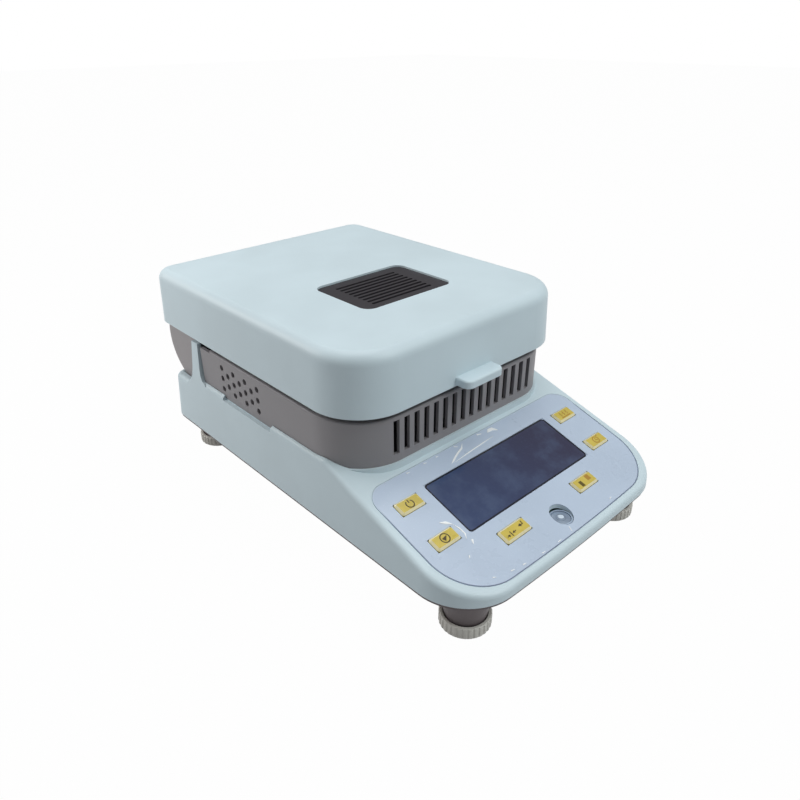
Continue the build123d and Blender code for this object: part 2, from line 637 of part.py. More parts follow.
def make_base_screws():
    # pan-head screws up through the bottom plate
    group = Part()
    for x, y, _ in BASE_SCREWS:
        screw = rod(x, y, PLATE_Z - 0.6, PLATE_Z + 1.1, 3.0) + rod(x, y, PLATE_Z + 1.1, FOOT_GAP + 10, 1.5)
        screw -= block(x - 2.4, x + 2.4, y - 0.4, y + 0.4, PLATE_Z - 1, PLATE_Z - 0.1)
        group += screw
    return group


def lid_outline(inset):
    return rounded_outline(LID_HALF - inset, LID_FRONT_Y + inset, LID_REAR_Y - inset,
                           LID_FRONT_R - inset, LID_REAR_R - inset)


def lid_block(z0, z1, inset, edge):
    lean = tan(radians(LID_DRAFT))
    lower = Pos(0, 0, z0) * lid_outline(inset + (z0 - LID_BOTTOM_Z) * lean)
    upper = Pos(0, 0, z1) * lid_outline(inset + (z1 - LID_BOTTOM_Z) * lean)
    body = loft([lower, upper], ruled=True)
    return fillet(body.faces().sort_by(Axis.Z)[-1].edges(), edge)


def grille_outline(shrink):
    return rounded_outline(GRILLE_X / 2 - shrink, -GRILLE_Y / 2 + shrink, GRILLE_Y / 2 - shrink,
                           GRILLE_R - shrink, GRILLE_R - shrink)


LID_SCREWS = [(-84, -40), (84, -40), (-84, 92), (84, 92)]


def make_lid_shell():
    shell = lid_block(LID_BOTTOM_Z, LID_TOP_Z, 0, LID_EDGE_R)
    tab = block(-TAB_HALF, TAB_HALF, TAB_FRONT_Y, LID_FRONT_Y + 6, TAB_Z0, TAB_Z1)
    tab = fillet(tab.edges().filter_by(Axis.Z).group_by(Axis.Y)[0], 5.0)
    upper = tab.faces().sort_by(Axis.Z)[-1].edges()
    tab = fillet(upper.filter_by(lambda e: e.center().Y < LID_FRONT_Y + 5), 1.4)
    shell += tab
    shell -= lid_block(LID_BOTTOM_Z - 1, LID_TOP_Z - LID_WALL, LID_WALL, LID_EDGE_R - LID_WALL)
    shell -= Pos(0, CHAMBER_Y, LID_TOP_Z - 6) * extrude(grille_outline(0), 12)
    for x, y in LID_SCREWS:
        shell += rod(x, y, 112.0, LID_TOP_Z - 1.5, 4.0) - rod(x, y, 110, 126, 1.5)
    return shell


def make_lid_grille():
    z = LID_TOP_Z - GRILLE_RECESS
    plate = extrude(grille_outline(0.15), 2.6)
    flange = rounded_outline(GRILLE_X / 2 + 4, -GRILLE_Y / 2 - 4, GRILLE_Y / 2 + 4, 10, 10)
    plate = Pos(0, 0, z - 2.6) * plate + Pos(0, 0, z - 3.4) * extrude(flange, 2.0 - GRILLE_RECESS + 0.1)
    for i in range(GRILLE_SLOTS):
        y = (i - (GRILLE_SLOTS - 1) / 2) * GRILLE_PITCH
        plate -= Pos(0, y, 0) * extrude(SlotOverall(GRILLE_SLOT_L, GRILLE_SLOT_W), 200)
    return Pos(0, CHAMBER_Y, 0) * plate


def make_lid_liner():
    # inner frame of the lid, with the cheeks and the round skirt at the back
    liner = slab(lid_outline(LID_WALL + 0.5), LINER_Z0, LINER_Z1)
    liner -= rod(0, CHAMBER_Y, 100, 120, GLASS_R + 6)
    liner += ring(GLASS_R + 6, GLASS_R + 12, 104.2, LINER_Z1)
    liner += ring(GLASS_R - 3, GLASS_R + 7, LINER_Z0, LINER_Z1)
    skirt_front = HINGE_Y - 10.0
    cheek = cross_rod(CHEEK_IN, CHEEK_OUT, HINGE_Y, HINGE_Z, SKIRT_R)
    cheek += side_prism([(HINGE_Y, HINGE_Z), (HINGE_Y + SKIRT_DY, HINGE_Z + SKIRT_DZ),
                         (HINGE_Y + SKIRT_DY, LINER_Z1), (HINGE_Y - 30, LINER_Z1)], CHEEK_IN, CHEEK_OUT)
    cheek &= block(0, 120, skirt_front, 200, 50, LINER_Z1)
    cheek += side_prism([(skirt_front, LINER_Z0), (skirt_front, 100), (90, LINER_Z0)], CHEEK_IN, CHEEK_OUT)
    hub = cross_rod(76.0, CHEEK_OUT, HINGE_Y, HINGE_Z, 8.0)
    hub += block(78.0, CHEEK_OUT, HINGE_Y - 3, HINGE_Y + 3, HINGE_Z, LINER_Z0 + 0.1)
    cheek += hub
    cheek -= cross_rod(70, 90.4, HINGE_Y, HINGE_Z, PIN_R + RUNNING)
    liner += both_sides(cheek)
    skin = cross_rod(-CHEEK_OUT, CHEEK_OUT, HINGE_Y, HINGE_Z, SKIRT_R)
    skin -= cross_rod(-120, 120, HINGE_Y, HINGE_Z, SKIRT_R - SKIRT_T)
    low = radians(-57)
    reach = 60
    sector = side_prism([(HINGE_Y, HINGE_Z), (HINGE_Y + reach * cos(low), HINGE_Z + reach * sin(low)),
                         (HINGE_Y + reach, HINGE_Z),
                         (HINGE_Y + SKIRT_DY * 1.6, HINGE_Z + SKIRT_DZ * 1.6)], -120, 120)
    liner += skin & sector
    liner += block(-CHEEK_OUT, CHEEK_OUT, HINGE_Y + SKIRT_DY - SKIRT_T, HINGE_Y + SKIRT_DY,
                   HINGE_Z + SKIRT_DZ - 1.2, LINER_Z0 + 0.1)
    for x, y in LID_SCREWS:
        liner += rod(x, y, LINER_Z1, 112.0, 4.0)
        liner -= rod(x, y, 100, 120, 1.7)
    return liner


def make_glass_pane():
    return rod(0, CHAMBER_Y, 104.8, 107.8, GLASS_R) - rod(0, CHAMBER_Y, 100, 110, 2.3)


def make_glass_ring():
    # sheet ring with three ears that clamps the pane against the liner
    return ring(GLASS_R - 4, GLASS_R + 4, 103.4, 104.6) + ring(GLASS_R + 0.2, GLASS_R + 5.8, 104.6, 107.9)


def make_reflector():
    profile = [(GLASS_R + 2, LINER_Z1 + 0.1), (GLASS_R + 2, LINER_Z1 + 1.1), (56, LINER_Z1 + 1.1), (50, 122),
               (34, 129), (14, 131), (14, 130), (33.6, 128), (49.2, 121.3), (55.2, LINER_Z1 + 0.1)]
    face = make_face(Plane.XZ * Polyline(*profile, close=True))
    reflector = revolve(face, Axis.Z)
    for side in (-1, 1):
        reflector -= block(side * 10 - 9, side * 10 + 9, 30, 60, LINER_Z1 + 1.1, 123.5)
    return Pos(0, CHAMBER_Y, 0) * reflector


LAMP_R, LAMP_TUBE_R, LAMP_Z = 36.0, 4.5, 118.0


def make_halogen_lamp():
    # quartz ring with two straight ends that leave at the back
    gap = 16.5
    loop = CenterArc((0, 0), LAMP_R, 90 + gap, 360 - 2 * gap)
    section = Pos(0, 0, LAMP_Z) * (Plane(origin=loop @ 0, z_dir=loop % 0) * Circle(LAMP_TUBE_R))
    tube = sweep(section, path=Pos(0, 0, LAMP_Z) * loop)
    for end in (0, 1):
        point = loop @ end
        tube += deep_rod(point.X, point.Y - 1, 52.2, LAMP_Z, 4.2)
    return Pos(0, CHAMBER_Y, 0) * tube


def make_lamp_sockets():
    group = Part()
    x = LAMP_R * sin(radians(16.5))
    for side in (-1, 1):
        socket = block(side * x - 8, side * x + 8, 52.2, 70, LINER_Z1 + 1.1, LAMP_Z + 8)
        group += chamfer(socket.edges().filter_by(Axis.Y), 1.5)
    return Pos(0, CHAMBER_Y, 0) * group


def make_heat_shield():
    foot_z = LINER_Z1 + 1.2
    shield = rod(0, 0, 134.0, 135.0, 60) - rod(0, 0, 130, 140, 8)
    for i in range(-3, 4):
        shield -= Pos(0, i * 9, 130) * extrude(SlotOverall(60, 3.4), 10)
    for turn in (45, 135, 225, 315):
        leg = block(57.5, 59.5, -4, 4, foot_z, 134.2) + block(57.5, 64, -4, 4, foot_z, foot_z + 1.0)
        shield += Rot(0, 0, turn) * leg
    return Pos(0, CHAMBER_Y, 0) * shield


def make_temp_sensor():
    # steel probe through the middle of the glass, its tip over the pan
    probe = rod(0, CHAMBER_Y, 96.0, 120.0, 2.0) + rod(0, CHAMBER_Y, 107.8, 109.3, 6.0)
    return fillet(probe.edges().group_by(Axis.Z)[0], 1.0)


def make_lid_screws():
    group = Part()
    for x, y in LID_SCREWS:
        group += rod(x, y, LINER_Z0 - 1.6, LINER_Z0, 3.0) + rod(x, y, LINER_Z0, 122.0, 1.5)
    return group


def build():
    nodes["base_housing"] = make_base_housing()
    nodes["bottom_plate"] = make_bottom_plate()
    nodes["foot_inserts"] = make_foot_inserts()
    nodes["base_screws"] = make_base_screws()
    nodes["keypad_label"] = make_keypad_label()
    nodes["display_window"] = make_display_window()
    nodes["lcd_module"] = make_lcd_module()
    nodes["lcd_glass"] = make_lcd_glass()
    nodes["keypad_board"] = make_keypad_board()
    nodes["key_switches"] = make_key_switches()
    nodes["bubble_level"] = make_bubble_level()
    nodes["level_glass"] = make_level_glass()
    nodes["chamber_collar"] = make_chamber_collar()
    nodes["lid_buffers"] = make_lid_buffers()
    nodes["chamber_floor"] = make_chamber_floor()
    nodes["chamber_liner"] = make_chamber_liner()
    nodes["draft_shield"] = make_draft_shield()
    nodes["weighing_cell"] = make_weighing_cell()
    nodes["cell_spigot"] = make_cell_spigot()
    nodes["pan_support"] = make_pan_support()
    nodes["sample_pan"] = make_sample_pan()
    nodes["pan_lifter"] = make_pan_lifter()
    nodes["main_board"] = make_main_board()
    nodes["transformer_core"] = make_transformer_core()
    nodes["transformer_coil"] = make_transformer_coil()
    nodes["fan_frame"] = make_fan_frame()
    nodes["fan_rotor"] = make_fan_rotor()
    nodes["power_inlet"] = make_power_inlet()
    nodes["switch_frame"] = make_switch_frame()
    nodes["power_rocker"] = make_power_rocker()
    nodes["serial_port"] = make_serial_port()
    nodes["hinge_brackets"] = make_hinge_brackets()
    nodes["hinge_pins"] = make_hinge_pins()
    nodes["lid_shell"] = make_lid_shell()
    nodes["lid_grille"] = make_lid_grille()
    nodes["lid_liner"] = make_lid_liner()
    nodes["lid_screws"] = make_lid_screws()
    nodes["glass_pane"] = make_glass_pane()
    nodes["glass_ring"] = make_glass_ring()
    nodes["reflector"] = make_reflector()
    nodes["halogen_lamp"] = make_halogen_lamp()
    nodes["lamp_sockets"] = make_lamp_sockets()
    nodes["heat_shield"] = make_heat_shield()
    nodes["temp_sensor"] = make_temp_sensor()
    for name, x, y, width in KEYS:
        nodes[name] = make_key(x, y, width)
    for name, x, y in FOOT_NAMES:
        nodes["foot_wheel_" + name] = make_foot_wheel(x, y)
        nodes["foot_pad_" + name] = make_foot_pad(x, y)


build()
os.makedirs("parts", exist_ok=True)
for name, shape in nodes.items():
    export_step(shape, f"parts/{name}.step")
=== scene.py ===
# Moisture analyzer: finishes, small fittings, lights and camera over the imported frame
import json
import math
import bmesh
import bpy
from mathutils import Matrix, Vector, geometry


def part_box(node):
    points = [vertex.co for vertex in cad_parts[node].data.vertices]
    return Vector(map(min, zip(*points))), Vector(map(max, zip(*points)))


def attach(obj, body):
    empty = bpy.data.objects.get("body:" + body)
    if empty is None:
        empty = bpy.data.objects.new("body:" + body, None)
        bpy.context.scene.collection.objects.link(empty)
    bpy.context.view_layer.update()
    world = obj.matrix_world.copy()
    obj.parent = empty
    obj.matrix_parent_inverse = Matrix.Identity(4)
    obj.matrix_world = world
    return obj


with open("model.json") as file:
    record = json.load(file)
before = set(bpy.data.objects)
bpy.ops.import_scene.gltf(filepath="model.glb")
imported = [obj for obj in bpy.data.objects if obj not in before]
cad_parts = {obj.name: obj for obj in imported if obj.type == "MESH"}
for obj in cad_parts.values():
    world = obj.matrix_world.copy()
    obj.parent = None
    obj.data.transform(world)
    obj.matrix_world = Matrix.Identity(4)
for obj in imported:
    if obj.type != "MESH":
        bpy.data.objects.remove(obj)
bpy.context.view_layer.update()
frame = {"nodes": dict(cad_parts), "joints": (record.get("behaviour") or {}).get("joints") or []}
nodes = frame["nodes"]
mm = 0.001
press = next(joint["axis"] for joint in frame["joints"] if joint["name"] == "key_power_press")
outward = -Vector(press).normalized()           # out of the sloping panel
across = Vector((1, 0, 0))
upSlope = outward.cross(across)
print("frame loaded:", len(nodes), "nodes")


def tint(red, green, blue):                     # an sRGB colour of 0 to 255 as Blender's linear one
    parts = [c / 255 for c in (red, green, blue)]
    linear = [((part + 0.055) / 1.055) ** 2.4 if part > 0.04 else part / 12.92 for part in parts]
    return (*linear, 1.0)


class Wire:                                     # one shader value that takes Python's operators
    def __init__(self, finish, socket):
        self.finish = finish
        self.socket = socket

    def maths(self, kind, *others):
        values = dict(enumerate((self, *others)))
        return self.finish.node("ShaderNodeMath", {"operation": kind}, values)

    def __add__(self, other):
        return self.maths("ADD", other)

    def __sub__(self, other):
        return self.maths("SUBTRACT", other)

    def __rsub__(self, other):
        return self.maths("MULTIPLY", -1.0) + other

    def __mul__(self, other):
        return self.maths("MULTIPLY", other)

    def __gt__(self, other):
        return self.maths("GREATER_THAN", other)

    def __lt__(self, other):
        return self.maths("LESS_THAN", other)

    __radd__ = __add__
    __rmul__ = __mul__

    def between(self, low, high):               # 0 at low, 1 at high, smooth in the middle
        values = {0: self, 1: low, 2: high}
        return self.finish.node("ShaderNodeMapRange", {"interpolation_type": "SMOOTHSTEP"}, values)


class Finish:                                   # a material while it is being made
    def __init__(self, name, colour, roughness, **sockets):
        self.material = bpy.data.materials.new(name)
        self.material.use_nodes = True
        self.tree = self.material.node_tree
        self.shader = self.tree.nodes["Principled BSDF"]
        self.feed("Base Color", colour)
        self.feed("Roughness", roughness)
        for socket, value in sockets.items():
            self.feed(socket.replace("_", " "), value)
        self.place = self.node("ShaderNodeTexCoord", out="Object")
        self.material.diffuse_color = colour

    @classmethod
    def reopen(cls, material):                  # go on with a material that is already made
        made = cls.__new__(cls)
        made.material = material
        made.tree = material.node_tree
        made.shader = made.tree.nodes["Principled BSDF"]
        made.place = made.node("ShaderNodeTexCoord", out="Object")
        return made

    def fed(self, name):                        # what a socket of the shader gets now
        return Wire(self, self.shader.inputs[name].links[0].from_socket)

    def node(self, kind, settings=None, values=None, out=0, stops=None):
        made = self.tree.nodes.new(kind)
        for name, value in (settings or {}).items():
            setattr(made, name, value)
        for index, (at, colour) in enumerate(stops or []):
            stop = made.color_ramp.elements[index] if index < 2 else made.color_ramp.elements.new(at)
            stop.position = at
            stop.color = colour
        for name, value in (values or {}).items():
            self.join(made.inputs[name], value)
        return Wire(self, made.outputs[out])

    def join(self, socket, value):
        if isinstance(value, Wire):
            self.tree.links.new(value.socket, socket)
        else:
            socket.default_value = value

    def feed(self, name, value):
        self.join(self.shader.inputs[name], value)

    def noise(self, size, detail=3.0, rough=0.5, stretch=(1, 1, 1)):
        spot = self.node("ShaderNodeMapping", {}, {"Vector": self.place, "Scale": stretch})
        values = {"Vector": spot, "Scale": 1 / size, "Detail": detail, "Roughness": rough}
        return self.node("ShaderNodeTexNoise", {}, values)

    def cells(self, size):
        values = {"Vector": self.place, "Scale": 1 / size}
        return self.node("ShaderNodeTexVoronoi", {"feature": "F1"}, values)

    def axis(self, name):                       # the X, Y or Z of a point, in metres
        return self.node("ShaderNodeSeparateXYZ", {}, {0: self.place}, out=name)

    def dot(self, first, second):
        values = {0: first, 1: second}
        return self.node("ShaderNodeVectorMath", {"operation": "DOT_PRODUCT"}, values, out="Value")

    def along(self, way):                       # how far a point lies in a direction, in metres
        return self.dot(self.place, way)

    def facing(self, way):                      # 1 where the surface faces that way, 0 where it is side on
        return self.dot(self.node("ShaderNodeTexCoord", out="Normal"), way)

    def reach(self, u, v, half, radius):        # metres outside a rounded rectangle, negative inside
        du = (u.maths("ABSOLUTE") - (half[0] - radius)).maths("MAXIMUM", 0.0)
        dv = (v.maths("ABSOLUTE") - (half[1] - radius)).maths("MAXIMUM", 0.0)
        return (du * du + dv * dv).maths("SQRT") - radius

    def blend(self, mask, first, second):
        return self.node("ShaderNodeMix", {"data_type": "RGBA"}, {0: mask, 6: first, 7: second}, out=2)

    def bump(self, height, depth, strength=1.0):
        values = {"Height": height, "Distance": depth, "Strength": strength}
        self.feed("Normal", self.node("ShaderNodeBump", {}, values))


def shaded(colour, amount):                     # the same colour, lighter or darker
    return (*(min(1.0, c * amount) for c in colour[:3]), 1.0)


def moulded(name, colour, roughness=0.46, grain=0.9 * mm, depth=0.03 * mm, uneven=0.03):
    # satin moulding: spark-eroded grain, faint cloudiness and rubbed patches
    made = Finish(name, colour, roughness, Specular_IOR_Level=0.45)
    cloud = made.noise(60 * mm, 4)
    fine = made.noise(2.2 * mm, 2)
    base = made.blend(cloud.between(0.3, 0.7), shaded(colour, 1 - uneven), shaded(colour, 1 + uneven))
    speck = made.cells(1.6 * mm) < 0.09
    made.feed("Base Color", made.blend(speck * 0.05, base, shaded(colour, 0.6)))
    made.feed("Roughness", cloud * 0.10 + fine * 0.08 + (roughness - 0.09))
    pits = made.noise(grain, 3, 0.6)
    made.bump(pits + made.cells(grain * 0.8) * 0.5, depth)
    return made.material


def brushed(name, colour, roughness=0.3, along=(1, 1, 40), depth=0.01 * mm):
    # drawn or turned metal with fine lines
    made = Finish(name, colour, roughness, Metallic=1.0)
    lines = made.noise(3 * mm, 5, 0.6, stretch=along)
    stain = made.noise(25 * mm, 3)
    dark, light = shaded(colour, 0.86), shaded(colour, 1.08)
    made.feed("Base Color", made.blend(lines.between(0.25, 0.75), dark, light))
    made.feed("Roughness", lines * 0.16 + stain * 0.10 + (roughness - 0.12))
    made.bump(lines, depth)
    return made.material


def turned(name, colour, centre, roughness=0.28, shadeBand=None):
    # a lathe's rings round an upright axis. Outside the given radius and below the given height it is
    # painted black as painted shade, seen through the collar's slots
    made = Finish(name, colour, roughness, Metallic=1.0)
    dx = made.axis("X") - centre[0]
    dy = made.axis("Y") - centre[1]
    radius = (dx * dx + dy * dy).maths("SQRT")
    ring = (radius * (2 * math.pi / (0.7 * mm))).maths("SINE")
    stain = made.noise(18 * mm, 4)
    scratch = made.noise(4 * mm, 5, 0.7, stretch=(1, 9, 1))
    face = made.blend(stain.between(0.3, 0.7), shaded(colour, 0.9), shaded(colour, 1.05))
    polish = stain * 0.14 + scratch * 0.12 + (roughness - 0.13)
    if shadeBand:
        outside = (radius > shadeBand[0]) * (made.axis("Z") < shadeBand[1])
        face = made.blend(outside, face, paint["enamel"])
        polish = polish + outside * 0.5
        made.feed("Metallic", 1.0 - outside)
    made.feed("Base Color", face)
    made.feed("Roughness", polish)
    made.bump(ring * 0.35 + scratch, 0.008 * mm)
    return made.material


def clear(name, colour, roughness=0.03, ior=1.49):
    made = Finish(name, colour, roughness, Transmission_Weight=1.0, IOR=ior)
    smear = made.noise(14 * mm, 4)
    made.feed("Roughness", smear.between(0.55, 0.8) * 0.06 + roughness)
    return made.material


def rubber(name, colour):
    made = Finish(name, colour, 0.75, Specular_IOR_Level=0.3)
    dust = made.noise(6 * mm, 5, 0.65)
    made.feed("Base Color", made.blend(dust.between(0.45, 0.8), colour, shaded(colour, 2.0)))
    made.feed("Roughness", dust * 0.2 + 0.62)
    made.bump(made.noise(0.7 * mm, 3), 0.03 * mm)
    return made.material


def circuitBoard(name):
    # solder mask with tracks, pads and vias
    mask = tint(24, 92, 58)
    made = Finish(name, mask, 0.35)
    tracks = made.node("ShaderNodeTexBrick", {"offset": 0.5}, {
        "Vector": made.place, "Scale": 110.0, "Mortar Size": 0.03,
        "Color1": mask, "Color2": shaded(mask, 0.9), "Mortar": shaded(mask, 1.5)})
    pads = made.cells(4 * mm) < 0.12
    made.feed("Base Color", made.blend(pads, tracks, tint(196, 178, 120)))
    made.feed("Roughness", 0.42 - pads * 0.15)
    made.bump(made.noise(1.5 * mm, 2), 0.02 * mm)
    return made.material


paint = {
    "shell": tint(203, 219, 226),
    "collar": tint(141, 138, 141),
    "skirt": tint(146, 141, 143),
    "floorPan": tint(100, 91, 93),
    "label": tint(189, 203, 222),
    "display": tint(52, 57, 90),
    "displayLeft": tint(54, 68, 104),
    "displayRight": tint(49, 49, 76),
    "displayHaze": tint(78, 94, 126),
    "displayEdge": tint(26, 27, 44),
    # near-black painted shade for the liner's outside, behind the collar's slots
    "enamel": tint(22, 20, 24),
    # near-black painted shade for the deck inside the collar
    "deckShade": tint(24, 23, 26),
    "gold": tint(208, 186, 84),
    # pale cream painted highlight for the keys' bevels
    "bevel": tint(244, 236, 198),
    "grille": tint(46, 43, 48),
    "wheel": tint(212, 209, 202),
    "black": tint(28, 28, 30),
    "steel": tint(190, 190, 188),
    "rubber": tint(30, 30, 31),
}


def housingShell():
    # the pale shell, with painted shade: dull black colour on the deck inside the collar, where shade falls
    colour = paint["shell"]
    deck = {
        "half": (97.0, 80.75), "middleY": 13.25, "radius": 38.0, "margin": 1.8,
        "top": 71.0, "bottom": 55.0,
    }
    material = moulded("housing plastic", colour)
    made = Finish.reopen(material)
    y = made.axis("Y") - deck["middleY"] * mm
    half = [value * mm for value in deck["half"]]
    outside = made.reach(made.axis("X"), y, half, deck["radius"] * mm)
    level = made.axis("Z")
    # mask of the deck inside the collar that takes the painted shade
    painted = (outside < -deck["margin"] * mm) * (level > deck["bottom"] * mm)
    painted = painted * (level < deck["top"] * mm)
    made.feed("Base Color", made.blend(painted, made.fed("Base Color"), paint["deckShade"]))
    return material


def labelFilm():
    # satin printed film under a clear protective sheet
    colour = paint["label"]
    made = Finish("label film", colour, 0.3, Coat_Weight=0.35, Coat_Roughness=0.12)
    cloud = made.noise(45 * mm, 3)
    base = made.blend(cloud.between(0.3, 0.7), shaded(colour, 0.97), shaded(colour, 1.03))
    speck = made.noise(1.1 * mm, 2).between(0.62, 0.8)
    made.feed("Base Color", made.blend(speck * 0.35, base, tint(226, 234, 246)))
    made.feed("Roughness", cloud * 0.1 + made.noise(6 * mm, 3) * 0.08 + 0.2)
    made.bump(made.noise(18 * mm, 2) + made.noise(0.6 * mm, 2) * 0.08, 0.12 * mm)
    return made.material


def displayFilm():
    # smoked window, bluer at its left end, with a darker printed border
    colour = paint["display"]
    low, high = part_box("display_window")
    spots = [vertex.co.dot(upSlope) for vertex in nodes["display_window"].data.vertices]
    made = Finish("display film", colour, 0.16, Coat_Weight=0.6, Coat_Roughness=0.05)
    width = made.axis("X")
    rise = made.along(upSlope) - (min(spots) + max(spots)) / 2
    half = ((high.x - low.x) / 2, (max(spots) - min(spots)) / 2)
    outside = made.reach(width - (low.x + high.x) / 2, rise, half, 2.6 * mm)
    face = made.blend(width.between(low.x, high.x), paint["displayLeft"], paint["displayRight"])
    haze = made.noise(26 * mm, 4, 0.6).between(0.42, 0.68)
    fleck = made.noise(1.6 * mm, 2).between(0.5, 0.8)
    face = made.blend(haze * 0.45 + fleck * 0.12, face, paint["displayHaze"])
    face = made.blend(outside > -1.1 * mm, face, paint["displayEdge"])
    made.feed("Base Color", made.blend(outside > 0.1 * mm, face, paint["label"]))
    made.feed("Roughness", haze * 0.08 + 0.12)
    made.bump(made.noise(9 * mm, 2), 0.02 * mm)
    return made.material


def keyGold():
    # lacquered gold, with a painted highlight of pale cream on the bevels
    colour = paint["gold"]
    made = Finish("key gold", colour, 0.3, Coat_Weight=0.5, Coat_Roughness=0.08)
    cloud = made.noise(9 * mm, 3)
    face = made.blend(cloud.between(0.3, 0.7), shaded(colour, 0.93), shaded(colour, 1.06))
    tilt = made.facing(outward)
    # the key's sloped bevels, which take the painted highlight
    bevel = (1.0 - tilt.between(0.86, 0.97)) * tilt.between(0.15, 0.4)
    made.feed("Base Color", made.blend(bevel * 0.8, face, paint["bevel"]))
    made.feed("Roughness", cloud * 0.12 + 0.22)
    made.bump(made.noise(0.5 * mm, 2), 0.01 * mm)
    return made.material


def levelFluid():
    # the level's pale blue-grey liquid below its glass
    colour = tint(158, 174, 196)
    made = Finish("level fluid", colour, 0.08, Transmission_Weight=0.25, IOR=1.49, Coat_Weight=0.8)
    swirl = made.noise(5 * mm, 3)
    patch = swirl.between(0.35, 0.7)
    made.feed("Base Color", made.blend(patch, tint(150, 166, 188), tint(172, 188, 208)))
    made.feed("Roughness", swirl * 0.06 + 0.05)
    return made.material


chamberSpot = [(a + b) / 2 for a, b in zip(*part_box("sample_pan"))]
shell = moulded("shell plastic", paint["shell"])
collar = moulded("collar plastic", paint["collar"], 0.5)
skirt = moulded("skirt plastic", paint["skirt"], 0.42)
floorPan = moulded("floor plastic", paint["floorPan"], 0.55)
wheel = moulded("wheel plastic", paint["wheel"], 0.5)
black = moulded("black plastic", paint["black"], 0.4)
grille = moulded("grille enamel", paint["grille"], 0.5, 0.5 * mm, 0.02 * mm)
ceramic = moulded("ceramic", tint(222, 218, 206), 0.7)
bumper = rubber("rubber", paint["rubber"])
board = circuitBoard("circuit board")
steel = brushed("drawn steel", paint["steel"])
zinc = brushed("zinc plate", tint(176, 178, 180), 0.38)
brass = brushed("brass", tint(196, 166, 92), 0.3)
bright = turned("turned steel", tint(205, 205, 202), chamberSpot)
# the liner's outside, below 96 mm, is painted black as painted shade behind the collar's slots
potSteel = turned("pot steel", tint(200, 200, 197), chamberSpot, shadeBand=(64.5 * mm, 96 * mm))
panMetal = turned("pan aluminium", tint(222, 222, 222), chamberSpot, 0.22)
mirror = turned("reflector", tint(240, 236, 226), chamberSpot, 0.16)
milled = brushed("milled aluminium", tint(200, 202, 204), 0.32, (40, 1, 1))
pane = clear("pane glass", tint(240, 246, 244))
quartz = clear("quartz", tint(250, 244, 232), 0.02, 1.46)
copper = brushed("winding tape", tint(198, 160, 84), 0.5, (1, 60, 1))

finishes = {
    "base_housing": housingShell(), "lid_shell": shell, "chamber_collar": collar, "lid_liner": skirt,
    "bottom_plate": floorPan, "keypad_label": labelFilm(), "display_window": displayFilm(),
    "lcd_module": black, "lcd_glass": pane, "keypad_board": board, "main_board": board,
    "key_switches": black, "bubble_level": moulded("level cup", tint(164, 180, 200), 0.35),
    "level_glass": levelFluid(), "lid_buffers": bumper,
    "chamber_floor": bright, "chamber_liner": potSteel, "draft_shield": bright, "pan_support": steel,
    "pan_lifter": bright, "sample_pan": panMetal, "cell_spigot": steel, "weighing_cell": milled,
    "transformer_core": moulded("varnished core", tint(52, 50, 50), 0.4), "transformer_coil": copper,
    "fan_frame": black, "fan_rotor": black, "power_inlet": black, "switch_frame": black,
    "power_rocker": black, "serial_port": zinc, "hinge_brackets": zinc, "hinge_pins": steel,
    "base_screws": steel, "lid_screws": steel, "foot_inserts": brass, "lid_grille": grille,
    "glass_pane": pane, "glass_ring": bright, "reflector": mirror, "halogen_lamp": quartz,
    "lamp_sockets": ceramic, "heat_shield": steel, "temp_sensor": steel,
}
gold = keyGold()
for name in nodes:
    if name.startswith("key_") and name != "key_switches":
        finishes[name] = gold
    if name.startswith("foot_wheel"):
        finishes[name] = wheel
    if name.startswith("foot_pad"):
        finishes[name] = bumper
for name, material in finishes.items():
    nodes[name].data.materials.clear()
    nodes[name].data.materials.append(material)
print("finishes on", len(finishes), "nodes")


# Small fittings. Each one rides the housing, the lid, the rocker or its own key
def addPiece(name, grid, material, body):
    bmesh.ops.remove_doubles(grid, verts=grid.verts, dist=0.002 * mm)
    bmesh.ops.recalc_face_normals(grid, faces=grid.faces)
    mesh = bpy.data.meshes.new(name)
    grid.to_mesh(mesh)
    grid.free()
    piece = bpy.data.objects.new(name, mesh)
    bpy.context.scene.collection.objects.link(piece)
    mesh.materials.append(material)
    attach(piece, body)
    return piece


def flatTop(name):                              # middle of a node's highest flat, seen square to the panel
    spots = [vertex.co for vertex in nodes[name].data.vertices]
    reach = max(spot.dot(outward) for spot in spots)
    flat = [spot for spot in spots if spot.dot(outward) > reach - 0.05 * mm]
    sides = [spot.x for spot in flat]
    rises = [spot.dot(upSlope) for spot in flat]
    middle = outward * reach + upSlope * (min(rises) + max(rises)) / 2
    return middle + across * (min(sides) + max(sides)) / 2


